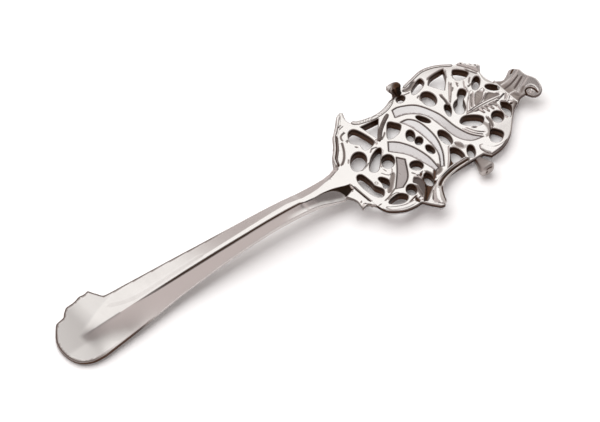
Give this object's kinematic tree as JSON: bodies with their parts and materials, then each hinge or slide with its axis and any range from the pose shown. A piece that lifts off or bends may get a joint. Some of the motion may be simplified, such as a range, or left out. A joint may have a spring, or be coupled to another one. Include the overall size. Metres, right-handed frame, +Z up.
{
  "type": "absinthe spoon",
  "caption": "Pierced, shallow-dished scrollwork spoon with a ridged handle, laid across a glass to hold a sugar cube while water drips through.",
  "frame": {"origin": "under the bowl's middle, on the flat that the bowl rests on, below the solid ground of the S-shaped band", "axes": "+X along the spoon from the handle's end to the bowl's tip, +Y to the spoon's left, +Z up from the table"},
  "size_m": [0.1655, 0.0471, 0.0072],
  "materials": {
    "polished_silver": "hand-polished silver",
    "satin_silver": "satin silver ground"
  },
  "bodies": {
    "root": {"handle": "polished_silver", "bowl_plate": "satin_silver", "fret": "polished_silver", "heel_tab": "polished_silver", "horn_leaf": "polished_silver", "left_rim_wire": "polished_silver", "top_rim_wire": "polished_silver", "upper_knob": "polished_silver", "shell_crest": "polished_silver", "tip_volute": "polished_silver", "lip_scroll": "polished_silver", "lower_knob": "polished_silver", "rim_rib": "polished_silver", "curl_scroll": "polished_silver", "leaf_spray": "polished_silver", "centre_vein": "polished_silver"}
  },
  "joints": []
}
